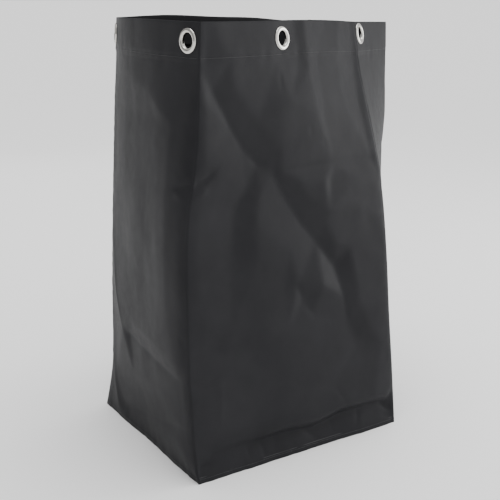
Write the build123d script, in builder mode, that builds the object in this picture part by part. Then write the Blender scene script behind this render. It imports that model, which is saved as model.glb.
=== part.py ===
"""Soft bag of a housekeeping cart: four sewn walls, a base and a hemmed rim with six grommets.

Millimetres, +Z up. The origin is the centre of the base's underside. The front wall faces -Y.
The bag stands as it does off its cart: a square base, a rim that leans back and to the right,
and a right side that is folded outwards at its middle.
"""

import os
from math import atan2, degrees, sqrt

from build123d import *

# Body
width = 400.0  # front and back walls, along X at the base
depth = 350.0  # side walls, along Y at the base
height = 700.0
waist = 330.0  # height where the walls change slope
hem = 52.0  # height of the turned-in rim
cloth = 0.6  # coated polyester
tape = 0.5  # bias tape that binds the raw seam edges
thread = 0.35  # how far a stitch stands proud
seam_allowance = 10.0
layer_gap = 0.05  # between layers of cloth
stitch_width = 0.8
stitch_edge = 3.0  # from the hem's lower edge up to its stitching
base_stitch_z = 6.0
tape_gap = 0.15  # between the walls and the corner tapes
tape_end = seam_allowance + tape
seam_start = seam_allowance + 4.0  # corner seams begin above the base seam

# Grommets: an eyelet outside, its barrel spread over a washer inside
flange_radius = 18.0
bore_radius = 11.0
metal = 0.6
dome = 2.4  # how far the eyelet stands out from the hem
barrel_depth = 1.6  # straight barrel behind the hem's outer face
lip_reach = 1.6  # how far the spread end of the barrel reaches out from the bore
lip_drop = 2.1
barrel_clearance = 0.3  # between the barrel and the cloth
washer_radius = 17.0
washer_thickness = 0.8
washer_clearance = 0.65  # behind the hem, which is curved
seat_gap = 0.3  # between the hem and the eyelet
corner_to_grommet = 25.0  # along the rim, from a corner seam to the grommet on the side wall
middle_shift = 20.0  # the middle grommets sit this far left of their wall's middle

# How far each corner of the rim has moved from above its base corner, and how far the corner
# edge bows out at the waist from the straight line between the two
CORNERS = ("front_left", "front_right", "back_right", "back_left")
rim_shift = {
    "front_left": (21, 12),
    "front_right": (-12, 136),
    "back_right": (50, 32),
    "back_left": (56, 11),
}
waist_bow = {
    "front_left": (-13, 8),
    "front_right": (12, -9),
    "back_right": (2, 6),
    "back_left": (4, 1),
}
# How far the middle of each wall stands out from its chord, at the base, the waist and the rim
WALLS = ("front", "right", "back", "left")
bulge = {"front": (0, 5, 7), "right": (1, 72, 120), "back": (0, 4, -6), "left": (0, 10, 28)}
FOLDED = ("right",)  # walls that are creased down the middle instead of curved

hem_bottom = height - hem
grommet_height = hem_bottom + 0.5 * hem


def between(z, at_base, at_waist, at_rim):
    """Value at height z of something given at the base, the waist and the rim."""
    if z < waist:
        return at_base + (at_waist - at_base) * z / waist
    return at_waist + (at_rim - at_waist) * (z - waist) / (height - waist)


def corner(index, z):
    """Plan position of outer corner number index, counted round from the front left."""
    name = CORNERS[index % 4]
    side_x = -1 if name.endswith("left") else 1
    side_y = -1 if name.startswith("front") else 1
    lean = Vector(*rim_shift[name]) * (z / height)
    bow = Vector(*waist_bow[name]) * between(z, 0, 1, 0)
    return Vector(side_x * width / 2, side_y * depth / 2) + lean + bow


def along(start, end):
    return (end - start).normalized()


def outward(direction):
    """Points out of the bag from a wall that runs counter-clockwise in this direction."""
    return Vector(direction.Y, -direction.X)


def into_corner(before, after):
    """Step from a corner that insets both of its walls by one millimetre."""
    split = (outward(before) + outward(after)) * -0.5
    return split / split.length**2


def wall_shape(index, z):
    """Ends of a wall's outer line, how far its middle stands out, and its directions at both ends."""
    start, end = corner(index, z), corner(index + 1, z)
    out = between(z, *bulge[WALLS[index % 4]])
    chord = end - start
    turn = atan2(out, chord.length / 2) * (1 if WALLS[index % 4] in FOLDED else 2)
    return start, end, out, chord.rotate(Axis.Z, -degrees(turn)), chord.rotate(Axis.Z, degrees(turn))


def split_at(index, z):
    """The same step at a corner of the bag."""
    *_, arriving = wall_shape(index - 1, z)
    _, _, _, leaving, _ = wall_shape(index, z)
    return into_corner(arriving.normalized(), leaving.normalized())


def wall_points(index, z, inset):
    """Start, middle and end of one wall's line, at an inset inside its outer face."""
    start, end, out, _, _ = wall_shape(index, z)
    square = outward(along(start, end))
    centre = (start + end) / 2 + square * out
    if WALLS[index % 4] in FOLDED:
        centre += into_corner(along(start, centre), along(centre, end)) * inset
    else:
        centre -= square * inset
    return start + split_at(index, z) * inset, centre, end + split_at(index + 1, z) * inset


def wall_line(index, z, inset):
    """Draws that line as an arc, or as two runs where the wall is folded. Returns its ends."""
    start, centre, end = wall_points(index, z, inset)
    if WALLS[index % 4] in FOLDED:
        Polyline(start, centre, end)
    elif (centre - (start + end) / 2).length < 0.01:
        Line(start, end)
    else:
        ThreePointArc(start, centre, end)
    return start, end


def strip(index, heights, outer, inner):
    """Adds a layer of wall number index between two insets, lofted through the heights."""
    sections = []
    for z in heights:
        with BuildSketch(Plane.XY.offset(z)) as section:
            with BuildLine():
                first, last = wall_line(index, z, outer)
                inner_first, inner_last = wall_line(index, z, inner)
                Line(first, inner_first)
                Line(last, inner_last)
            make_face()
        sections.append(section.sketch)
    loft(sections=sections, ruled=True, clean=False)


def seam_tape(index):
    """Adds the tape inside a corner, from above the base seam to below the hem."""
    sections = []
    for z in (seam_start, waist, hem_bottom - layer_gap):
        split = split_at(index, z)
        inwards = split.normalized()
        across = outward(inwards)
        half = cloth + tape
        clear = (cloth + tape_gap) * split.length + half * sqrt(split.length**2 - 1)
        outline = ((clear, half), (clear, -half), (tape_end, -half), (tape_end, half))
        with BuildSketch(Plane.XY.offset(z)) as section:
            with BuildLine():
                points = [corner(index, z) + inwards * d + across * a for d, a in outline]
                Polyline(*points, close=True)
            make_face()
        sections.append(section.sketch)
    loft(sections=sections, ruled=True, clean=False)


def band(inset_outer, inset_inner, z_low, z_high):
    """Adds a closed band that follows all four walls."""
    for index in range(4):
        strip(index, (z_low, z_high), inset_outer, inset_inner)


def rim_wire(index, z):
    with BuildLine(mode=Mode.PRIVATE) as line:
        wall_line(index, z, 0)
    return line.wires()[0]


def rim_point(index, z, share):
    """Point on a wall's outer face, at a share of its length counted from its first corner."""
    wire = rim_wire(index, z)
    if (wire @ 0 - corner(index, z)).length > 1:
        share = 1 - share
    point = wire @ share
    return Vector(point.X, point.Y, z)


def rim_place(index, share):
    """Plane just off the hem's outer face, at a share of the way along a wall."""
    point = rim_point(index, grommet_height, share)
    direction = rim_point(index, grommet_height, share + 0.01) - rim_point(index, grommet_height, share - 0.01)
    rise = rim_point(index, height, share) - rim_point(index, hem_bottom, share)
    outwards = direction.cross(rise).normalized()
    return Plane(origin=point + outwards * seat_gap, x_dir=direction, z_dir=outwards)


# Two grommets near the ends of each side wall, one near the middle of the front and of the back
near_end = [corner_to_grommet / rim_wire(index, grommet_height).length for index in range(4)]
off_middle = [0.5 - middle_shift / rim_wire(index, grommet_height).length for index in range(4)]
grommets = {
    "front_middle": (0, off_middle[0]),
    "front_right": (1, near_end[1]),
    "back_right": (1, 1 - near_end[1]),
    "back_middle": (2, off_middle[2]),
    "back_left": (3, near_end[3]),
    "front_left": (3, 1 - near_end[3]),
}
places = {name: rim_place(*where) for name, where in grommets.items()}

os.makedirs("parts", exist_ok=True)


def keep(piece, label):
    piece.part.label = label
    export_step(piece.part, f"parts/{label}.step")


# Walls: cloth doubled at the hem
for index, wall in enumerate(WALLS):
    with BuildPart() as panel:
        strip(index, (0, waist, hem_bottom), 0, cloth)
        strip(index, (hem_bottom, height), 0, 2 * cloth)
        for grommet, (at_wall, share) in grommets.items():
            if at_wall == index:
                with BuildSketch(places[grommet]):
                    Circle(bore_radius + metal + barrel_clearance)
                extrude(amount=4 * cloth, both=True, mode=Mode.SUBTRACT)
    keep(panel, f"{wall}_panel" if wall in ("front", "back") else f"{wall}_side_panel")

# Base: a floor with its edge turned up inside the walls
base_inset = cloth + layer_gap
with BuildPart() as base:
    with BuildSketch() as floor_outline:
        with BuildLine():
            for index in range(4):
                wall_line(index, 0, base_inset + 0.5 * cloth)
        make_face()
    extrude(amount=cloth)
    band(base_inset, base_inset + cloth, 0, seam_allowance)
keep(base, "base_panel")

# Bias tape over the raw edges. Inside the walls' corners it encloses both seam allowances.
for index, name in enumerate(CORNERS):
    with BuildPart() as binding:
        seam_tape(index)
    keep(binding, f"{name}_seam_binding")

tape_inset = base_inset + cloth + layer_gap
with BuildPart() as base_binding:
    band(tape_inset, tape_inset + tape, cloth + layer_gap, seam_allowance + layer_gap)
    band(base_inset, tape_inset + tape, seam_allowance + layer_gap, seam_allowance + layer_gap + tape)
keep(base_binding, "base_seam_binding")

# Stitching that shows outside, as a raised line round the hem and round the base
for name, line_z in (("hem_stitching", hem_bottom + stitch_edge), ("base_stitching", base_stitch_z)):
    with BuildPart() as stitching:
        band(-thread, -0.02, line_z, line_z + stitch_width)
    keep(stitching, name)

# Grommets and the washers behind them
for name, place in places.items():
    along_radius = Plane(origin=place.origin, x_dir=place.x_dir, z_dir=place.x_dir.cross(place.z_dir))
    axis = Axis(place.origin, place.z_dir)
    crest = 0.5 * (bore_radius + flange_radius)
    shoulder = 0.5 * dome
    lip_z = -barrel_depth - lip_drop
    lip_radius = bore_radius + lip_reach
    with BuildPart() as eyelet:
        with BuildSketch(along_radius):
            with BuildLine():
                ThreePointArc((flange_radius, 0), (flange_radius - 1.2, 0.78 * dome), (crest, dome))
                ThreePointArc((crest, dome), (bore_radius + 1, 0.86 * dome), (bore_radius, shoulder))
                Line((bore_radius, shoulder), (bore_radius, -barrel_depth))
                ThreePointArc((bore_radius, -barrel_depth), (bore_radius + 0.47, lip_z + 0.47), (lip_radius, lip_z))
                Line((lip_radius, lip_z), (lip_radius, lip_z + metal))
                ThreePointArc(
                    (lip_radius, lip_z + metal),
                    (lip_radius - 0.6, lip_z + metal + 0.15),
                    (bore_radius + metal, -barrel_depth),
                )
                Line((bore_radius + metal, -barrel_depth), (bore_radius + metal, shoulder))
                ThreePointArc(
                    (bore_radius + metal, shoulder),
                    (bore_radius + metal + 0.8, 0.86 * dome - metal),
                    (crest, dome - metal),
                )
                ThreePointArc(
                    (crest, dome - metal),
                    (flange_radius - 1.2 - 0.7 * metal, 0.78 * dome - 0.7 * metal),
                    (flange_radius - metal, 0),
                )
                Line((flange_radius - metal, 0), (flange_radius, 0))
            make_face()
        revolve(axis=axis)
    keep(eyelet, f"{name}_eyelet")

    back = -2 * cloth - washer_clearance
    with BuildPart() as washer:
        with BuildSketch(Plane(origin=place.origin + place.z_dir * back, x_dir=place.x_dir, z_dir=place.z_dir)):
            Circle(washer_radius)
            Circle(bore_radius + metal + barrel_clearance, mode=Mode.SUBTRACT)
        extrude(amount=-washer_thickness)
    keep(washer, f"{name}_washer")
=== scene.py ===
"""Looks of a housekeeping cart's bag: creased coated cloth, stitched hem and nickel grommets."""

import math

import bmesh
import bpy
import numpy as np
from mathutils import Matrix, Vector
from mathutils.geometry import delaunay_2d_cdt


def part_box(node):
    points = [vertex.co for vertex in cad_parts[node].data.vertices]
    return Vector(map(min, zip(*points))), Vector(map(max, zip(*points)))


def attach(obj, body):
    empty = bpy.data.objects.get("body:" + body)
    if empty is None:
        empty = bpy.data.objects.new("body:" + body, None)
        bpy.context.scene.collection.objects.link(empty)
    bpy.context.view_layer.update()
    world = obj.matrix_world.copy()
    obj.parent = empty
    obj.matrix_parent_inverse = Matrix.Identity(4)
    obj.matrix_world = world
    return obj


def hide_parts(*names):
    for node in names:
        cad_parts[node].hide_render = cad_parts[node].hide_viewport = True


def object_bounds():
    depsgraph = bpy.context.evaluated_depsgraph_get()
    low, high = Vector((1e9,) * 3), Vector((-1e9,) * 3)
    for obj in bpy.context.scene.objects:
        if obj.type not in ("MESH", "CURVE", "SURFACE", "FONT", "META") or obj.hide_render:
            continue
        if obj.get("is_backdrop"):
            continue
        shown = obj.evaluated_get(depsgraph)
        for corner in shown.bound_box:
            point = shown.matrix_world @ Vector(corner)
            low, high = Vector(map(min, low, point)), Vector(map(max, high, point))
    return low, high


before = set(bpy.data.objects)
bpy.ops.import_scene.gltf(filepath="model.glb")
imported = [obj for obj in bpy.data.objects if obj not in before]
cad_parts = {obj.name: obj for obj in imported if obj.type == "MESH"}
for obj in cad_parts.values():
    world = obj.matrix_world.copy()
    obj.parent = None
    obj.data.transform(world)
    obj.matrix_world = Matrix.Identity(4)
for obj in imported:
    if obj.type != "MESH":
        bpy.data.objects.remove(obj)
cad_low, cad_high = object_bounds()

# Sizes in millimetres. Positions along a wall run from its first seam, and heights from the base.
MM = 0.001
base_low, base_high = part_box("base_panel")
HALF_X = 0.5 * (base_high.x - base_low.x) / MM
HALF_Y = 0.5 * (base_high.y - base_low.y) / MM
HEIGHT = cad_high.z / MM
HEM = 52.0
HEM_BOTTOM = HEIGHT - HEM
CLOTH = 0.6
CELL = 3.2  # spacing of the cloth's mesh
TURN_DEPTH = 2.2  # thickness of the turned hem
HEM_STEP = 0.9  # how far the hem stands out from the wall below it
RIM_STEPS = 5  # steps of the turn over the rim
RIM_ARC = 4  # length of cloth in that turn
FOLD_ROUND = 0.04  # roundness of the folded wall's edge, as a share of half its width
EDGE_HEIGHTS = range(0, 701, 70)  # where a wall's facets are pinned to its seams
TINY = 1e-6

# Stitches
HEM_STITCHES = HEM_BOTTOM + 3
BASE_STITCHES = 7.5
STITCH_PITCH = 3.8
STITCH_MARGIN = 3  # from a wall's seam to its first stitch
STITCH_SHAPE = ((-0.4, -0.15), (-0.16, 0.3), (0.16, 0.3), (0.4, -0.15))  # (share of pitch, height)
THREAD_RADIUS = 0.27

# Depth of the cloth's grooves: at its stitches and at its turned edge on the ground
STITCH_GROOVE = 0.7
FOOT_TURN = 0.8

# Random unevenness of a wall: (amount, size of its features across and up)
SAG = (1.6, (85, 120))
RIPPLE = (0.4, (34, 52))
GRAIN = (0.06, (13, 15))
HEM_PULL = (0.35, (15, 60))
FOOT_PULL = (0.5, (12, 40))
SEAM_PUCKER = (0.5, (9, 40))
PULL_REACH = 26  # how far the hem and the base seam crinkle the cloth beside them

# Grommets
EYELET_HOLE = 13.8  # radius of the cloth's hole, which the eyelet's flange covers
EYELET_SHEET = 0.5
EYELET_LIFT = 0.5  # from the cloth's face to the zero height of the profiles below

# Bag's floor
FLOOR_CELLS = (90, 80)
FLOOR_INSET = 2.2
FLOOR_REST = 0.65
FLOOR_WAVE = (0.9, (120, 110))
FLOOR_FLAT_EDGE = 60

# Binding tape
TAPE_START = 14
TAPE_RINGS = 160
TAPE_SWAY = (0.9, (45, 10))
TAPE_SECTION = (  # (distance from the seam, distance to one side)
    (1.5, 0.6), (3.5, 1.2), (9.6, 1.25), (10.6, 0.7), (10.9, 0),
    (10.6, -0.7), (9.6, -1.25), (3.5, -1.2), (1.5, -0.6),
)

# Camera, in metres and degrees
CAMERA = (-0.812, -1.274, 0.732)
VIEW_HEADING = 32.7  # right of the Y axis
VIEW_DIP = 15.62
LENS = 64.8
SENSOR = 36

# Corner seams: where each starts at the base, how far its rim end has moved, and the way and
# distance it bows in between, as (height, distance)
SEAMS = {
    "front_left": {
        "base": (-1, -1),
        "rim": (21, 12),
        "way": (-0.85, 0.52),
        "bow": (
            (0, 0), (60, 7), (130, 12), (200, 16), (290, 18), (370, 19),
            (430, 16), (480, 9), (530, 4), (600, 2), (700, 0),
        ),
    },
    "front_right": {
        "base": (1, -1),
        "rim": (-12, 136),
        "way": (0.8, -0.6),
        "bow": (
            (0, 0), (100, 6), (200, 11), (300, 17), (400, 20),
            (450, 19), (500, 15), (560, 9), (620, 3), (700, 0),
        ),
    },
    "back_right": {"base": (1, 1), "rim": (50, 32), "way": (0.3, 0.95), "bow": ((0, 0), (330, 6), (700, 0))},
    "back_left": {
        "base": (-1, 1),
        "rim": (56, 11),
        "way": (1, 0),
        "bow": ((0, 0), (40, 6), (80, 10), (130, 9), (200, 6), (300, 3), (450, 1), (700, 0)),
    },
}

# Walls, counter-clockwise. bulge: how far the middle stands out, by height. round: how the cloth
# rises out of its first and last seam, as (rise, reach). folded: creased outwards down its middle.
WALLS = {
    "front_panel": {
        "seams": ("front_left", "front_right"),
        "width": 400,
        "bulge": ((0, 0), (330, 5), (700, 7)),
        "round": ((0.8, 4), (2.5, 4)),
    },
    "right_side_panel": {
        "seams": ("front_right", "back_right"),
        "width": 350,
        "bulge": (
            (0, 1), (165, 44), (300, 71), (360, 87), (420, 102),
            (480, 112), (560, 120), (640, 125), (700, 125),
        ),
        "round": ((0.5, 3), (3, 6)),
        "folded": True,
    },
    "back_panel": {
        "seams": ("back_right", "back_left"),
        "width": 400,
        "bulge": ((0, 0), (330, 5), (700, -6)),
        "round": ((3, 6), (4, 6)),
    },
    "left_side_panel": {
        "seams": ("back_left", "front_left"),
        "width": 350,
        "bulge": ((0, 0), (330, 10), (700, 28)),
        "round": ((2, 4), (8, 13)),
    },
}


def curve(x, points):
    """Smooth curve through points (position, value), at positions x."""
    known = np.array(points, float)
    at, value = known[:, 0], known[:, 1]
    slope = np.gradient(value, at)
    i = np.clip(np.searchsorted(at, x, side="right") - 1, 0, len(at) - 2)
    step = at[i + 1] - at[i]
    t = np.clip((x - at[i]) / step, 0, 1)
    return (
        (2 * t**3 - 3 * t**2 + 1) * value[i]
        + (t**3 - 2 * t**2 + t) * step * slope[i]
        + (3 * t**2 - 2 * t**3) * value[i + 1]
        + (t**3 - t**2) * step * slope[i + 1]
    )


def smooth(x):
    """Eased step from 0 to 1 as x goes from 0 to 1."""
    x = np.clip(x, 0, 1)
    return x * x * (3 - 2 * x)


def blur(field, sigma):
    """Gaussian blur of a wall's field, sigma in millimetres."""
    if sigma <= 0:
        return field
    reach = max(1, int(3 * sigma / CELL))
    kernel = np.exp(-0.5 * (np.arange(-reach, reach + 1) * CELL / sigma) ** 2)
    kernel /= kernel.sum()
    for axis in (0, 1):
        pad = [(reach, reach) if a == axis else (0, 0) for a in (0, 1)]
        wide = np.pad(field, pad, mode="reflect")
        field = np.apply_along_axis(lambda row: np.convolve(row, kernel, "valid"), axis, wide)
    return field


def noise(a, z, size, seed):
    """Smooth random field from -1 to 1 with features of about size (across, up)."""
    dice = np.random.default_rng(seed)
    x, y = a / size[0], z / size[1]
    table = dice.uniform(-1, 1, (int(y.max()) + 3, int(x.max()) + 3))
    i, j = y.astype(int), x.astype(int)
    v, u = smooth(y - i), smooth(x - j)
    low = table[i, j] * (1 - u) + table[i, j + 1] * u
    high = table[i + 1, j] * (1 - u) + table[i + 1, j + 1] * u
    return low * (1 - v) + high * v


def net(a, z, width, nodes, folds):
    """Faceted field: flat facets between nodes (across, up, out), with edges along the folds."""
    spots = dict(nodes)
    edge = 0
    for side in (0, width):
        for up in EDGE_HEIGHTS:
            spots[f"edge{edge}"] = (side, up, 0)
            edge += 1
    names = list(spots)
    points = [Vector(spots[n][:2]) for n in names]
    links = [(names.index(p), names.index(q)) for fold in folds for p, q in zip(fold, fold[1:])]
    made, _, faces, origins, _, _ = delaunay_2d_cdt(points, links, [], 0, 0.01)
    out = np.array([spots[names[o[0]]][2] if o else 0 for o in origins], float)
    field = np.zeros_like(a)
    for face in faces:
        (x0, y0), (x1, y1), (x2, y2) = (made[i] for i in face)
        size = (x1 - x0) * (y2 - y0) - (x2 - x0) * (y1 - y0)
        if abs(size) < TINY:
            continue
        p = ((a - x0) * (y2 - y0) - (x2 - x0) * (z - y0)) / size
        q = ((x1 - x0) * (z - y0) - (a - x0) * (y1 - y0)) / size
        inside = (p >= -TINY) & (q >= -TINY) & (p + q <= 1 + TINY)
        value = out[face[0]] * (1 - p - q) + out[face[1]] * p + out[face[2]] * q
        field[inside] = value[inside]
    return field


def crease(a, z, points, depth, reach, lean=0.0):
    """Line fold along points: depth in and reach wide, fading out at both ends. lean widens one flank."""
    best = np.full_like(a, 1e9)
    side = np.zeros_like(a)
    along = np.zeros_like(a)
    total = sum(math.dist(p, q) for p, q in zip(points, points[1:]))
    run = 0.0
    for (x0, y0), (x1, y1) in zip(points, points[1:]):
        length = math.dist((x0, y0), (x1, y1))
        t = np.clip(((a - x0) * (x1 - x0) + (z - y0) * (y1 - y0)) / length**2, 0, 1)
        dx, dy = a - x0 - t * (x1 - x0), z - y0 - t * (y1 - y0)
        gap = np.hypot(dx, dy)
        nearer = gap < best
        best = np.where(nearer, gap, best)
        side = np.where(nearer, np.sign((x1 - x0) * dy - (y1 - y0) * dx), side)
        along = np.where(nearer, (run + t * length) / total, along)
        run += length
    width = reach * (1 + lean * side)
    flank = np.exp(-np.abs(best / width) ** 1.3)
    fade = np.sin(np.pi * np.clip(along * 0.94 + 0.03, 0, 1)) ** 0.5
    return -depth * flank * fade


# Facet nets: nodes as (across, up, out), and the folds that run from node to node
FRONT_FORMS = {
    "top_a": (20, 700, 1),
    "top_b": (120, 700, 2),
    "top_c": (165, 700, 3),
    "top_d": (212, 700, -1),
    "top_e": (238, 700, 3),
    "top_f": (262, 700, -1),
    "top_g": (300, 700, -2),
    "top_h": (345, 700, 3),
    "top_i": (382, 700, -3),
    "hem_a": (60, 650, 4),
    "hem_b": (160, 640, 3),
    "hem_c": (218, 630, 2),
    "hem_d": (244, 625, 5),
    "hem_e": (266, 630, 1),
    "hem_f": (330, 640, 3),
    "hem_g": (384, 640, -3),
    "valley_a": (6, 632, 0),
    "valley_b": (30, 602, -5),
    "valley_c": (68, 548, -8),
    "valley_d": (94, 514, -10),
    "star_a": (126, 488, -12),
    "valley_e": (156, 470, -9),
    "valley_f": (180, 432, -11),
    "valley_g": (214, 384, -11),
    "valley_h": (248, 346, -10),
    "star_b": (284, 302, -11),
    "shoulder_a": (70, 606, 1),
    "shoulder_b": (120, 552, -1),
    "shoulder_c": (166, 512, -2),
    "shoulder_d": (222, 428, -1),
    "shoulder_e": (262, 380, -1),
    "shoulder_f": (312, 326, 0),
    "upper_a": (190, 580, 5),
    "upper_b": (250, 556, 5),
    "upper_c": (272, 560, 2),
    "upper_d": (330, 570, 1),
    "upper_e": (378, 560, -4),
    "pack_a": (172, 470, -4),
    "pack_b": (286, 471, -1),
    "pack_c": (384, 468, -3),
    "under_pack_a": (210, 452, 0),
    "under_pack_b": (262, 448, 2),
    "under_pack_c": (276, 446, -1),
    "under_pack_d": (340, 440, 2),
    "east_a": (268, 398, 3),
    "east_b": (280, 340, 1),
    "east_c": (345, 390, 2),
    "east_d": (378, 330, -2),
    "west_a": (14, 590, 1),
    "west_b": (14, 540, 1),
    "west_c": (16, 500, 1.5),
    "west_d": (16, 440, 1.5),
    "west_e": (16, 370, 1.5),
    "west_f": (18, 300, 1),
    "second_a": (106, 452, -10),
    "second_b": (88, 428, -10),
    "second_c": (84, 398, -9),
    "second_d": (80, 350, -7),
    "middle_a": (128, 440, -5),
    "middle_b": (122, 396, -3),
    "middle_c": (126, 340, -1),
    "middle_d": (190, 344, -4),
    "middle_e": (176, 300, -3),
    "loop_a": (26, 246, 3),
    "loop_b": (72, 236, 3),
    "loop_c": (46, 214, -1),
    "loop_d": (62, 196, 2),
    "dent_a": (198, 284, 0),
    "dent_b": (212, 262, -4),
    "dent_c": (232, 238, -1),
    "dent_d": (178, 216, 3),
    "dent_e": (250, 276, 3),
    "strip_a": (299, 246, -4),
    "strip_b": (306, 198, -3),
    "strip_c": (324, 160, -2),
    "beside_a": (326, 250, 3),
    "beside_b": (346, 190, 3),
    "low_a": (110, 190, -1),
    "low_b": (140, 140, 2),
    "low_c": (250, 170, 3),
    "low_d": (378, 150, 0),
    "fold_a": (268, 98, 2),
    "fold_b": (306, 60, 7),
    "belly_a": (30, 82, 3),
    "belly_b": (102, 72, 6),
    "belly_c": (170, 60, 8),
    "belly_d": (236, 54, 9),
    "belly_e": (276, 62, 9),
    "belly_f": (350, 62, 8),
    "belly_g": (386, 58, 3),
    "tuck_a": (14, 26, -3),
    "tuck_b": (34, 40, -6),
    "tuck_c": (116, 38, -7),
    "tuck_d": (172, 38, -7),
    "tuck_e": (226, 32, -7),
    "tuck_f": (280, 43, -8),
    "tuck_g": (340, 42, -8),
    "tuck_h": (382, 38, -7),
    "foot_a": (14, 2, 1),
    "foot_b": (100, 2, 3),
    "foot_c": (200, 2, 3),
    "foot_d": (300, 2, 3),
    "foot_e": (386, 2, 1),
}
FRONT_FOLDS = (
    ("valley_a", "valley_b", "valley_c", "valley_d", "star_a"),
    ("star_a", "valley_e", "valley_f", "valley_g", "valley_h", "star_b"),
    ("star_b", "strip_a", "strip_b", "strip_c"),
    ("star_a", "second_a", "second_b", "second_c", "second_d"),
    ("valley_e", "pack_a", "pack_b", "pack_c"),
    ("west_a", "west_b", "west_c", "west_d", "west_e", "west_f"),
    ("tuck_a", "tuck_b", "tuck_c", "tuck_d", "tuck_e", "tuck_f", "tuck_g", "tuck_h"),
    ("belly_a", "belly_b", "belly_c", "belly_d", "belly_e", "belly_f", "belly_g"),
    ("top_e", "hem_d", "upper_b"),
    ("top_f", "hem_e", "upper_c"),
)
LEFT_FORMS = {
    "top": (180, 700, 0),
    "arm_a": (130, 618, 5),
    "arm_b": (224, 598, 6),
    "arm_c": (318, 604, 3),
    "under_a": (150, 560, -2),
    "under_b": (240, 560, 0),
    "patch": (295, 555, 5),
    "pole_a": (292, 500, 4),
    "pole_b": (296, 380, 5),
    "pole_c": (298, 250, 5),
    "hollow_a": (215, 440, -3),
    "hollow_b": (205, 300, -2),
    "ridge_a": (16, 340, 1),
    "ridge_b": (51, 232, 6),
    "ridge_c": (86, 174, 8),
    "ridge_d": (28, 68, 5),
    "ridge_e": (61, 18, 6),
    "line_a": (131, 200, 4),
    "line_b": (240, 200, 5),
    "line_c": (320, 190, 2),
    "tuck_a": (110, 170, -2),
    "tuck_b": (225, 168, -3),
    "tuck_c": (325, 164, -3),
    "low_a": (130, 110, 3),
    "low_b": (250, 120, 4),
    "fold_a": (80, 26, -1),
    "fold_b": (200, 54, -4),
    "fold_c": (325, 84, -4),
    "foot_a": (130, 0, 1),
    "foot_b": (250, 0, 1),
}
LEFT_FOLDS = (
    ("ridge_a", "ridge_b", "ridge_c"),
    ("ridge_d", "ridge_e"),
    ("arm_a", "arm_b", "arm_c"),
    ("tuck_a", "tuck_b", "tuck_c"),
    ("fold_a", "fold_b", "fold_c"),
)
RIGHT_FORMS = {
    "top": (175, 700, 0),
    "front_a": (80, 600, -3),
    "front_b": (95, 480, 3),
    "front_c": (80, 360, -2),
    "back_a": (265, 590, 3),
    "back_b": (255, 430, -4),
    "back_c": (270, 300, 3),
    "low_a": (90, 210, 4),
    "low_b": (190, 150, 5),
    "low_c": (270, 170, -2),
    "belly_a": (90, 62, 7),
    "belly_b": (260, 60, 7),
    "tuck_a": (30, 40, -2),
    "tuck_b": (175, 34, -3),
    "tuck_c": (320, 36, -2),
    "foot_a": (100, 0, 1),
    "foot_b": (250, 0, 1),
}
RIGHT_FOLDS = (("belly_a", "belly_b"), ("tuck_a", "tuck_b", "tuck_c"))
BACK_FORMS = {
    "top_a": (90, 700, 3),
    "top_b": (200, 700, -2),
    "top_c": (310, 700, 3),
    "a": (70, 590, -5),
    "b": (190, 560, 4),
    "c": (320, 600, -3),
    "d": (110, 450, 5),
    "e": (250, 430, -7),
    "f": (345, 470, 4),
    "g": (160, 320, -6),
    "h": (300, 300, 4),
    "i": (70, 230, 3),
    "j": (220, 190, -3),
    "k": (330, 170, 4),
    "belly_a": (80, 60, 7),
    "belly_b": (200, 56, 8),
    "belly_c": (320, 60, 7),
    "tuck_a": (30, 36, -2),
    "tuck_b": (150, 32, -3),
    "tuck_c": (270, 34, -3),
    "tuck_d": (370, 38, -2),
    "foot_a": (100, 0, 1),
    "foot_b": (300, 0, 1),
}
BACK_FOLDS = (
    ("c", "e", "g", "i"),
    ("belly_a", "belly_b", "belly_c"),
    ("tuck_a", "tuck_b", "tuck_c", "tuck_d"),
)
FORMS = {
    "front_panel": (FRONT_FORMS, FRONT_FOLDS),
    "left_side_panel": (LEFT_FORMS, LEFT_FOLDS),
    "right_side_panel": (RIGHT_FORMS, RIGHT_FOLDS),
    "back_panel": (BACK_FORMS, BACK_FOLDS),
}
FORM_DEPTH = {"front_panel": 0.95, "left_side_panel": 0.6, "right_side_panel": 0.7, "back_panel": 0.7}
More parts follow.
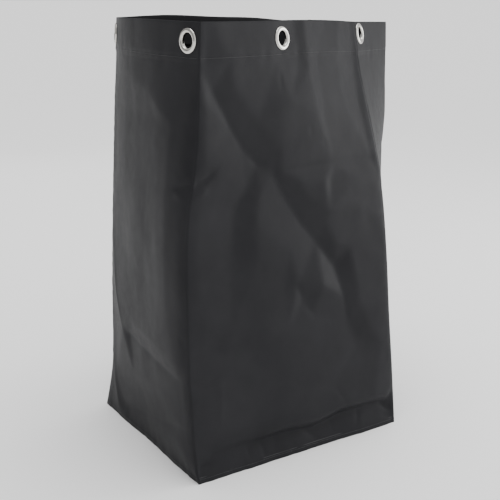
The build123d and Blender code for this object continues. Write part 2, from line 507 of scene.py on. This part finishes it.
# Small folds: (points, depth, reach, lean)
CREASES = {
    "front_panel": (
        (((30, 602), (68, 548), (94, 514), (126, 488)), 0.9, 4, 0.3),
        (((156, 472), (214, 384), (248, 346), (284, 302)), 0.9, 4, 0.3),
        (((156, 472), (286, 471), (388, 468)), 1.4, 3.5, 0.3),
        (((112, 500), (126, 488), (140, 486)), 1.2, 3, 0),
        (((284, 302), (299, 246), (306, 198)), 0.8, 4, 0),
        (((196, 286), (212, 262)), 1.2, 4, 0),
        (((214, 250), (236, 228)), 1.2, 4, 0),
        (((0, 472), (18, 476), (38, 487)), 4.5, 6, 0.3),
        (((2, 452), (26, 462)), -2.0, 5, 0),
        (((0, 164), (24, 160), (52, 168)), 2.4, 3.5, 0),
        (((52, 168), (49, 120), (46, 84)), -1.2, 4, 0),
        (((268, 98), (290, 66)), 0.8, 4, 0),
        (
            ((14, 24), (34, 40), (116, 38), (172, 38), (226, 33), (280, 43), (340, 42), (384, 38)),
            3.2, 4.5, 0,
        ),
        (((96, 36), (99, 14)), 1.8, 3, 0),
        (((122, 36), (126, 10)), 2.2, 3, 0),
        (((150, 36), (147, 12)), 0.9, 3, 0),
        (((206, 34), (232, 14)), 2.4, 3, 0),
        (((262, 40), (266, 14)), 1.0, 3, 0),
        (((322, 42), (316, 16)), 1.8, 3, 0),
        (((2, 10), (10, 24), (30, 22)), 4.0, 4, 0.3),
        (((366, 44), (384, 30), (398, 26)), 4.0, 4, 0.3),
        (((372, 22), (390, 12)), 1.4, 3, 0),
        (((168, 628), (172, 596)), 0.7, 3, 0),
        (((232, 536), (236, 524)), 0.7, 2.5, 0),
        (((262, 512), (270, 502)), 0.7, 2.5, 0),
    ),
    "left_side_panel": (
        (((16, 340), (51, 232), (86, 174)), -1.2, 4, 0),
        (((4, 108), (28, 68), (61, 18)), -1.0, 4, 0),
        (((100, 172), (225, 168), (330, 164)), 1.2, 5, 0),
        (((70, 24), (200, 54), (340, 88)), 1.5, 5, 0),
        (((316, 462), (334, 470), (348, 478)), 3.0, 4, 0),
        (((318, 458), (340, 452)), -1.5, 4, 0),
        (((336, 236), (350, 228)), 1.6, 4, 0),
    ),
    "right_side_panel": (
        (((175, 690), (176, 450), (172, 200)), -1.0, 4, 0),
        (((60, 470), (290, 468)), 1.0, 5, 0),
    ),
    "back_panel": (
        (((30, 472), (200, 470), (370, 468)), 1.2, 5, 0),
        (((320, 600), (250, 430), (160, 320)), 1.8, 5, 0.2),
    ),
}


def seam_line(name, z):
    """Plan positions of a corner seam at heights z."""
    seam = SEAMS[name]
    start = np.array(seam["base"], float) * (HALF_X, HALF_Y)
    bow = curve(z, seam["bow"])[:, None]
    hem = HEM_STEP * smooth((z - HEM_BOTTOM + 2) / 3)[:, None] * np.array(seam["base"])
    return start + (z / HEIGHT)[:, None] * np.array(seam["rim"], float) + bow * np.array(seam["way"]) + hem


def shape_wall(name):
    """Points of a wall's cloth, as a grid of rows by columns, with its flat coordinates."""
    wall = WALLS[name]
    width = wall["width"]
    z = np.linspace(0, HEIGHT, round(HEIGHT / CELL) + 1)
    u = np.linspace(0, 1, round(width / CELL) + 1)
    start, end = (seam_line(s, z) for s in wall["seams"])
    chord = end - start
    way = chord / np.linalg.norm(chord, axis=1)[:, None]
    out = np.stack([way[:, 1], -way[:, 0]], axis=1)
    if wall.get("folded"):
        seam_end = math.sqrt(1 + FOLD_ROUND**2)
        profile = (seam_end - np.sqrt((2 * u - 1) ** 2 + FOLD_ROUND**2)) / (seam_end - FOLD_ROUND)
    else:
        profile = 4 * u * (1 - u)
    a, up = np.meshgrid(u * width, z)
    bulge = curve(z, wall["bulge"])[:, None] * profile[None, :]
    seed = list(WALLS).index(name) * 10

    def uneven(kind, key):
        amount, size = kind
        return amount * noise(a, up, size, seed + key)

    # Facets, small folds and an uneven pull everywhere
    forms, folds = FORMS[name]
    edge_gap = np.minimum(a, width - a)
    inside = smooth(edge_gap / 40)
    away_from_seam = smooth(edge_gap / 7)
    field = FORM_DEPTH[name] * blur(net(a, up, width, forms, folds), 4.5)
    for points, depth, reach, lean in CREASES[name]:
        field += blur(crease(a, up, points, depth, reach, lean), 2.0)
    field += inside * uneven(SAG, 0)
    field += inside * uneven(RIPPLE, 1)
    field += uneven(GRAIN, 2)
    field += np.exp(-(((up - HEM_BOTTOM) / PULL_REACH) ** 2)) * uneven(HEM_PULL, 3)
    field += np.exp(-((up / PULL_REACH) ** 2)) * uneven(FOOT_PULL, 4)

    # Turned edge at the foot, and the hem's stitches pulled into the cloth
    field -= FOOT_TURN * (1 - smooth(up / 5))
    groove = STITCH_GROOVE * np.exp(-(((up - HEM_STITCHES) / 2.2) ** 2))
    field -= groove * (1 + 0.3 * np.sin(a * 2 * np.pi / STITCH_PITCH))
    field = bulge + away_from_seam * field

    # The cloth turns into its seams, which pull it in and pucker it
    low = smooth((HEM_BOTTOM - 10 - up) / 120) * smooth(up / 60)
    (first_rise, first_reach), (last_rise, last_reach) = wall["round"]
    rise = first_rise * (1 - u) + last_rise * u
    turn_in = (0.25 + (rise - 0.25) * low) * (1 - np.exp(-a / np.maximum(first_reach * low, 1.5)))
    field += turn_in * (1 - np.exp(-(width - a) / np.maximum(last_reach * low, 1.5)))
    pucker, pucker_size = SEAM_PUCKER
    for gap, key in ((a, 5), (width - a, 6)):
        near_seam = away_from_seam * np.exp(-((gap / 12) ** 2))
        field += near_seam * pucker * noise(up, gap, pucker_size, seed + key)

    plan = start[:, None, :] * (1 - u)[None, :, None] + end[:, None, :] * u[None, :, None]
    plan = plan + out[:, None, :] * field[..., None]
    lift = up + rim_drop(name, u)[None, :] * smooth((up - 420) / 280)
    points = np.concatenate([plan, lift[..., None]], axis=2)

    # Over the rim and down the inside of the hem
    inward = -np.concatenate([out, np.zeros((len(z), 1))], axis=1)[:, None, :]
    half_turn = 0.5 * TURN_DEPTH
    turn = [
        points[-1] + inward[-1] * half_turn * (1 - math.cos(t)) + np.array([0, 0, half_turn * math.sin(t)])
        for t in (math.pi * k / RIM_STEPS for k in range(1, RIM_STEPS))
    ]
    rows = [i for i in range(len(z) - 1, -1, -1) if z[i] > HEM_BOTTOM - 1]
    inner = points[rows] + inward[rows] * TURN_DEPTH
    grid = np.concatenate([points, np.array(turn), inner])
    over_rim = HEIGHT + np.arange(1, RIM_STEPS) * RIM_ARC / RIM_STEPS
    flat_up = np.concatenate([z, over_rim, HEIGHT + RIM_ARC + (HEIGHT - z[rows])])
    shape = grid.shape[:2]
    return grid, np.broadcast_to(u * width, shape), np.broadcast_to(flat_up[:, None], shape)


def rim_drop(name, u):
    """Rise of the rim above its full height across a wall, below it where negative, at shares u."""
    drops = {
        "front_panel": ((0, 0), (0.3, -1), (0.55, -1), (0.85, -4), (1, -7)),
        "right_side_panel": ((0, -7), (0.25, -9), (0.5, -11), (0.8, -12), (1, -13)),
        "back_panel": ((0, -13), (0.12, -9), (0.27, -4), (0.5, -1), (0.75, 3), (1, 0)),
        "left_side_panel": ((0, 0), (0.4, 1.5), (0.8, 1), (1, 0)),
    }
    return curve(u, drops[name])


# Materials
def linear(code):
    """sRGB hex code to a linear RGBA colour."""
    parts = [int(code[i : i + 2], 16) / 255 for i in (0, 2, 4)]
    return (*[c / 12.92 if c <= 0.04045 else ((c + 0.055) / 1.055) ** 2.4 for c in parts], 1)


def add(tree, kind, links=(), **settings):
    """Adds a node with its settings and (output, input) links, and returns it."""
    node = tree.nodes.new(kind)
    for key, value in settings.items():
        if key.startswith("in_"):
            slot = key[3:]
            node.inputs[int(slot) if slot.isdigit() else slot.replace("_", " ")].default_value = value
        else:
            setattr(node, key, value)
    for output, name in links:
        tree.links.new(output, node.inputs[name])
    return node


def new_material(name):
    """New material, its node tree and its main shader."""
    material = bpy.data.materials.new(name)
    material.use_nodes = True
    return material, material.node_tree, material.node_tree.nodes["Principled BSDF"]


def set_inputs(shader, **values):
    """Sets a shader's inputs by name, with _ in place of spaces."""
    for key, value in values.items():
        shader.inputs[key.replace("_", " ")].default_value = value


def coated_cloth(name, dark, light, rough):
    """Plain-woven polyester with a satin coating: fine weave, faint mottling and uneven gloss."""
    material, tree, shader = new_material(name)
    uv = add(tree, "ShaderNodeUVMap", uv_map="flat")
    flat = [(uv.outputs["UV"], "Vector")]
    spot = [(add(tree, "ShaderNodeTexCoord").outputs["Object"], "Vector")]
    mottle = add(tree, "ShaderNodeTexNoise", spot, in_Scale=9, in_Detail=5, in_Roughness=0.6)
    tone = add(tree, "ShaderNodeMix", data_type="RGBA", in_6=linear(dark), in_7=linear(light))
    share = add(
        tree, "ShaderNodeMapRange", [(mottle.outputs["Fac"], "Value")], in_From_Min=0.3, in_From_Max=0.7
    )
    tree.links.new(share.outputs[0], tone.inputs[0])
    wear = add(tree, "ShaderNodeTexNoise", spot, in_Scale=60, in_Detail=4, in_Roughness=0.7)
    gloss = add(
        tree, "ShaderNodeMapRange", [(wear.outputs["Fac"], "Value")],
        in_From_Min=0.35, in_From_Max=0.8, in_To_Min=rough - 0.02, in_To_Max=rough + 0.04,
    )
    tree.links.new(tone.outputs[2], shader.inputs["Base Color"])
    tree.links.new(gloss.outputs[0], shader.inputs["Roughness"])
    # Threads both ways, and a fine crinkle over them
    threads = {"in_Scale": 350, "in_Distortion": 0.6}
    warp = add(tree, "ShaderNodeTexWave", flat, bands_direction="X", **threads)
    weft = add(tree, "ShaderNodeTexWave", flat, bands_direction="Y", **threads)
    cross = add(
        tree, "ShaderNodeMath", [(warp.outputs["Fac"], 0), (weft.outputs["Fac"], 1)], operation="MULTIPLY"
    )
    weave = add(
        tree, "ShaderNodeBump", [(cross.outputs[0], "Height")], in_Strength=0.5, in_Distance=0.00008
    )
    crinkle = add(tree, "ShaderNodeTexNoise", spot, in_Scale=150, in_Detail=3, in_Roughness=0.55)
    relief = add(
        tree, "ShaderNodeBump", [(crinkle.outputs["Fac"], "Height"), (weave.outputs["Normal"], "Normal")],
        in_Strength=0.09, in_Distance=0.0006,
    )
    tree.links.new(relief.outputs["Normal"], shader.inputs["Normal"])
    set_inputs(shader, IOR=1.22, Specular_IOR_Level=0.25)
    return material


def tape_cloth():
    """Matt ribbed binding tape."""
    material, tree, shader = new_material("bias_tape")
    spot = [(add(tree, "ShaderNodeTexCoord").outputs["Object"], "Vector")]
    ribs = add(tree, "ShaderNodeTexWave", spot, bands_direction="Z", in_Scale=260, in_Distortion=1)
    bump = add(
        tree, "ShaderNodeBump", [(ribs.outputs["Fac"], "Height")], in_Strength=0.5, in_Distance=0.0003
    )
    tree.links.new(bump.outputs["Normal"], shader.inputs["Normal"])
    set_inputs(shader, Base_Color=linear("202023"), Roughness=0.8, Sheen_Weight=0.3)
    return material


def thread_material():
    """Twisted polyester thread."""
    material, tree, shader = new_material("thread")
    spot = [(add(tree, "ShaderNodeTexCoord").outputs["Object"], "Vector")]
    twist = add(tree, "ShaderNodeTexNoise", spot, in_Scale=1800, in_Detail=2)
    bump = add(
        tree, "ShaderNodeBump", [(twist.outputs["Fac"], "Height")], in_Strength=0.6, in_Distance=0.0002
    )
    tree.links.new(bump.outputs["Normal"], shader.inputs["Normal"])
    set_inputs(shader, Base_Color=linear("151517"), Roughness=0.6, Sheen_Weight=0.2)
    return material


def nickel():
    """Polished nickel plate with faint handling marks."""
    material, tree, shader = new_material("nickel_plate")
    spot = [(add(tree, "ShaderNodeTexCoord").outputs["Object"], "Vector")]
    marks = add(tree, "ShaderNodeTexNoise", spot, in_Scale=220, in_Detail=5, in_Roughness=0.7)
    gloss = add(
        tree, "ShaderNodeMapRange", [(marks.outputs["Fac"], "Value")],
        in_From_Min=0.3, in_From_Max=0.8, in_To_Min=0.1, in_To_Max=0.24,
    )
    tree.links.new(gloss.outputs[0], shader.inputs["Roughness"])
    bump = add(
        tree, "ShaderNodeBump", [(marks.outputs["Fac"], "Height")], in_Strength=0.15, in_Distance=0.0001
    )
    tree.links.new(bump.outputs["Normal"], shader.inputs["Normal"])
    set_inputs(shader, Base_Color=linear("c9c7c2"), Metallic=1.0)
    return material


CLOTH_MATERIAL = coated_cloth("coated_cloth", "222224", "29292b", 0.46)
TAPE_MATERIAL = tape_cloth()
THREAD_MATERIAL = thread_material()
NICKEL_MATERIAL = nickel()


def keep(obj, material, slot, *nodes):
    """Gives a piece its material and puts it on the bag in place of the frame's nodes."""
    obj.data.materials.clear()
    obj.data.materials.append(material)
    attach(obj, "root")
    if nodes:
        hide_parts(*nodes)
    return obj


def place_object(name, data):
    """New object in the scene with this mesh, curve, light or camera."""
    obj = bpy.data.objects.new(name, data)
    bpy.context.scene.collection.objects.link(obj)
    return obj


def mesh_of(name, work):
    """New mesh from an edited one, which is freed."""
    mesh = bpy.data.meshes.new(name)
    work.to_mesh(mesh)
    work.free()
    return mesh


def thicken(obj, name, thickness, **settings):
    """Gives a sheet its thickness."""
    solid = obj.modifiers.new(name, "SOLIDIFY")
    solid.thickness = thickness * MM
    for key, value in settings.items():
        setattr(solid, key, value)


def grid_object(name, points, flat_across, flat_up):
    """Mesh with one vertex for each grid point, and its flat position in metres as its UV."""
    rows, columns = points.shape[:2]
    work = bmesh.new()
    bmesh.ops.create_grid(work, x_segments=columns - 1, y_segments=rows - 1, size=1)
    mesh = mesh_of(name, work)
    mesh.vertices.foreach_set("co", (points.reshape(-1, 3) * MM).ravel())
    flat = np.stack([flat_across, flat_up], axis=2).reshape(-1, 2) * MM
    corner = np.empty(len(mesh.loops), dtype=np.int32)
    mesh.loops.foreach_get("vertex_index", corner)
    mesh.uv_layers.new(name="flat").data.foreach_set("uv", flat[corner].ravel())
    mesh.shade_smooth()
    mesh.update()
    return place_object(name, mesh)


def cut_holes(obj, centres, radius):
    """Removes the faces whose middles lie within radius of a centre. The grommet covers the edge."""
    work = bmesh.new()
    work.from_mesh(obj.data)
    gone = [f for f in work.faces if any((f.calc_center_median() - c).length < radius * MM for c in centres)]
    bmesh.ops.delete(work, geom=gone, context="FACES")
    work.to_mesh(obj.data)
    work.free()


surfaces = {name: shape_wall(name) for name in WALLS}
OUTER_ROWS = round(HEIGHT / CELL) + 1


def surface_place(name, a, z):
    """Point on a wall's outer face at (across, up), the face's sampler, and its row and column there."""
    grid = surfaces[name][0][:OUTER_ROWS]
    rows, columns = grid.shape[:2]
    row = z / HEIGHT * (rows - 1)
    column = a / WALLS[name]["width"] * (columns - 1)

    def sample(r, c):
        r, c = min(max(r, 0), rows - 1.001), min(max(c, 0), columns - 1.001)
        i, j = int(r), int(c)
        s, t = r - i, c - j
        low = grid[i, j] * (1 - t) + grid[i, j + 1] * t
        high = grid[i + 1, j] * (1 - t) + grid[i + 1, j + 1] * t
        return low * (1 - s) + high * s

    return sample(row, column), sample, row, column


def local_frame(name, a, z, reach):
    """Point in metres with the ways along, up and out of the wall, from the points reach away."""
    point, sample, row, column = surface_place(name, a, z)
    step = reach / CELL
    along = Vector(sample(row, column + step) - sample(row, column - step)).normalized()
    up = Vector(sample(row + step, column) - sample(row - step, column)).normalized()
    out = along.cross(up).normalized()
    up = out.cross(along)
    return Vector(point) * MM, along, up, out


def nearest(name, target):
    """Flat coordinates of the point on a wall nearest a target in metres."""
    grid = surfaces[name][0][:OUTER_ROWS] * MM
    gap = np.linalg.norm(grid - np.array(target), axis=2)
    row, column = np.unravel_index(gap.argmin(), gap.shape)
    return column / (grid.shape[1] - 1) * WALLS[name]["width"], row / (grid.shape[0] - 1) * HEIGHT


# Grommets: each eyelet sits on the cloth where the frame has it. Profiles are (radius, height).
GROMMETS = {
    "front_middle": "front_panel",
    "front_right": "right_side_panel",
    "back_right": "right_side_panel",
    "back_middle": "back_panel",
    "back_left": "left_side_panel",
    "front_left": "left_side_panel",
}
EYELET_PROFILE = (
    (17.3, -0.5), (18.0, -0.25), (18.0, 0.15), (17.7, 0.75), (17.0, 1.4), (16.0, 1.95),
    (14.8, 2.25), (13.6, 2.2), (12.5, 1.85), (11.7, 1.25), (11.2, 0.5), (11.0, -0.5),
    (11.0, -2.4), (11.2, -3.1), (11.8, -3.6), (12.6, -3.8), (13.2, -3.5),
)
WASHER_PROFILE = ((11.9, -2.7), (16.6, -2.6), (17.0, -2.9), (16.8, -3.3), (12.0, -3.5), (11.9, -2.7))


def revolved(name, profile, origin, along, out, steps=72):
    """Closed or open profile (radius, height) spun about the out axis."""
    work = bmesh.new()
    points = [work.verts.new(origin + (along * r + out * h) * MM) for r, h in profile]
    edges = [work.edges.new(pair) for pair in zip(points, points[1:])]
    bmesh.ops.spin(work, geom=points + edges, cent=origin, axis=out, angle=math.tau, steps=steps)
    bmesh.ops.remove_doubles(work, verts=work.verts, dist=TINY)
    bmesh.ops.recalc_face_normals(work, faces=work.faces)
    mesh = mesh_of(name, work)
    mesh.shade_smooth()
    return place_object(name, mesh)


holes = {name: [] for name in WALLS}
for grommet, wall in GROMMETS.items():
    low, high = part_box(f"{grommet}_eyelet")
    a, z = nearest(wall, (low + high) / 2)
    origin, along, _, out = local_frame(wall, a, z, 15)
    holes[wall].append(origin)
    seat = origin + out * EYELET_LIFT * MM
    eyelet = revolved(f"{grommet}_eyelet_look", EYELET_PROFILE, seat, along, out)
    thicken(eyelet, "sheet metal", EYELET_SHEET)
    keep(eyelet, NICKEL_MATERIAL, "nickel_plate", f"{grommet}_eyelet")
    washer = revolved(f"{grommet}_washer_look", WASHER_PROFILE, seat, along, out)
    keep(washer, NICKEL_MATERIAL, "nickel_plate", f"{grommet}_washer")

for name in WALLS:
    cloth = grid_object(f"{name}_cloth", *surfaces[name])
    cut_holes(cloth, holes[name], EYELET_HOLE)
    thicken(cloth, "cloth", CLOTH, offset=-1)
    keep(cloth, CLOTH_MATERIAL, "coated_cloth", name)

# Floor of the bag, slightly uneven
foot = {name: seam_line(name, np.array([0.0]))[0] for name in SEAMS}
u, v = np.meshgrid(*(np.linspace(0, 1, count) for count in FLOOR_CELLS))
across, back = u * WALLS["front_panel"]["width"], v * WALLS["left_side_panel"]["width"]
plan = (
    foot["front_left"] * ((1 - u) * (1 - v))[..., None]
    + foot["front_right"] * (u * (1 - v))[..., None]
    + foot["back_right"] * (u * v)[..., None]
    + foot["back_left"] * ((1 - u) * v)[..., None]
) * (1 - FLOOR_INSET / HALF_X)
wave_height, wave_size = FLOOR_WAVE
to_edge = np.minimum(np.minimum(across, across.max() - across), np.minimum(back, back.max() - back))
wave = wave_height * (noise(across, back, wave_size, 90) + 1) * smooth(to_edge / FLOOR_FLAT_EDGE)
floor_points = np.concatenate([plan, (FLOOR_REST + wave)[..., None]], axis=2)
floor_cloth = grid_object("base_panel_cloth", floor_points, across, back)
thicken(floor_cloth, "cloth", CLOTH, offset=-1)
keep(floor_cloth, CLOTH_MATERIAL, "coated_cloth", "base_panel")


def stitch_line(name, z):
    """One curve object round the bag at height z, with a short rounded spline for each stitch."""
    data = bpy.data.curves.new(name, "CURVE")
    data.dimensions = "3D"
    data.bevel_depth = THREAD_RADIUS * MM
    data.bevel_resolution = 1
    data.use_fill_caps = True
    for wall in WALLS:
        room = WALLS[wall]["width"] - 2 * STITCH_MARGIN
        for k in range(int(room / STITCH_PITCH)):
            a = STITCH_MARGIN + STITCH_PITCH * (k + 0.5)
            spline = data.splines.new("POLY")
            spline.points.add(len(STITCH_SHAPE) - 1)
            for point, (share, h) in zip(spline.points, STITCH_SHAPE):
                origin, _, _, out = local_frame(wall, a + STITCH_PITCH * share, z, 3)
                point.co = (*(origin + out * h * MM), 1)
    return place_object(name, data)


keep(stitch_line("hem_stitches", HEM_STITCHES), THREAD_MATERIAL, "thread", "hem_stitching")
keep(stitch_line("base_stitches", BASE_STITCHES), THREAD_MATERIAL, "thread", "base_stitching")


def corner_tape(name):
    """Folded tape along the inside of a corner seam, round its allowance."""
    z = np.linspace(TAPE_START, HEM_BOTTOM - 1, TAPE_RINGS)
    line = seam_line(name, z)
    index = list(SEAMS).index(name)
    before = seam_line(list(SEAMS)[index - 1], z)
    after = seam_line(list(SEAMS)[(index + 1) % 4], z)
    ways = [(p - line) / np.linalg.norm(p - line, axis=1)[:, None] for p in (before, after)]
    inward = ways[0] + ways[1]
    inward /= np.linalg.norm(inward, axis=1)[:, None]
    across = np.stack([inward[:, 1], -inward[:, 0]], axis=1)
    amount, size = TAPE_SWAY
    sway = amount * noise(z, z * 0, size, 70 + index)[:, None]
    rings = [line + inward * d + across * (s + sway * d / 10) for d, s in TAPE_SECTION]
    points = np.stack([np.concatenate([r, z[:, None]], axis=1) for r in rings], axis=1)
    tape = grid_object(f"{name}_tape", points, points[..., 0] * 0, points[..., 2])
    return keep(tape, TAPE_MATERIAL, "bias_tape", f"{name}_seam_binding")


for name in SEAMS:
    corner_tape(name)
base_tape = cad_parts["base_seam_binding"]
base_tape.data.materials.clear()
base_tape.data.materials.append(TAPE_MATERIAL)

# Studio: pale floor and sky, a grazing softbox at the right, and softer light from above and behind
work = bmesh.new()
bmesh.ops.create_grid(work, x_segments=2, y_segments=2, size=400)
studio_floor = place_object("studio_floor", mesh_of("studio_floor", work))
paper, _, paper_shader = new_material("studio_paper")
set_inputs(paper_shader, Base_Color=linear("f6f6f6"), Roughness=0.9, Specular_IOR_Level=0.1)
studio_floor.data.materials.append(paper)
studio_floor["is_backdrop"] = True


def softbox(name, position, size, watts):
    """Area light that faces the middle of the bag."""
    light = bpy.data.lights.new(name, "AREA")
    light.shape = "RECTANGLE"
    light.size, light.size_y = size
    light.energy = watts
    obj = place_object(name, light)
    obj.location = position
    towards_bag = Vector((0.0, 0.0, 0.35)) - Vector(position)
    obj.rotation_euler = towards_bag.to_track_quat("-Z", "Y").to_euler()


softbox("right_box", (2.4, -0.7, 0.7), (1.0, 1.4), 26)
softbox("top_box", (0.5, 0.6, 2.6), (1.6, 1.6), 15)
softbox("back_box", (0.4, 2.8, 1.2), (1.6, 1.0), 4)
overhead = bpy.data.lights.new("overhead", "SUN")
overhead.energy = 1.8
overhead.angle = math.radians(50)
place_object("overhead", overhead)

# White sky, brighter above the front and right
world = bpy.data.worlds.new("studio")
world.use_nodes = True
sky = world.node_tree
direction = add(sky, "ShaderNodeTexCoord")
towards = add(
    sky, "ShaderNodeVectorMath", [(direction.outputs["Generated"], 0)],
    operation="DOT_PRODUCT", in_1=(0.45, -0.7, 0.5),
)
fade = add(
    sky, "ShaderNodeMapRange", [(towards.outputs["Value"], "Value")],
    in_From_Min=-0.3, in_From_Max=0.85, in_To_Min=0.4, in_To_Max=1.35,
)
sky.nodes["Background"].inputs["Color"].default_value = (1, 1, 1, 1)
sky.links.new(fade.outputs[0], sky.nodes["Background"].inputs["Strength"])
bpy.context.scene.world = world

# Camera
camera_data = bpy.data.cameras.new("camera")
camera_data.lens = LENS
camera_data.sensor_width = SENSOR
camera = place_object("camera", camera_data)
camera.location = CAMERA
camera.rotation_euler = (math.radians(90 - VIEW_DIP), 0, math.radians(-VIEW_HEADING))
bpy.context.scene.camera = camera

low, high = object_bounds()
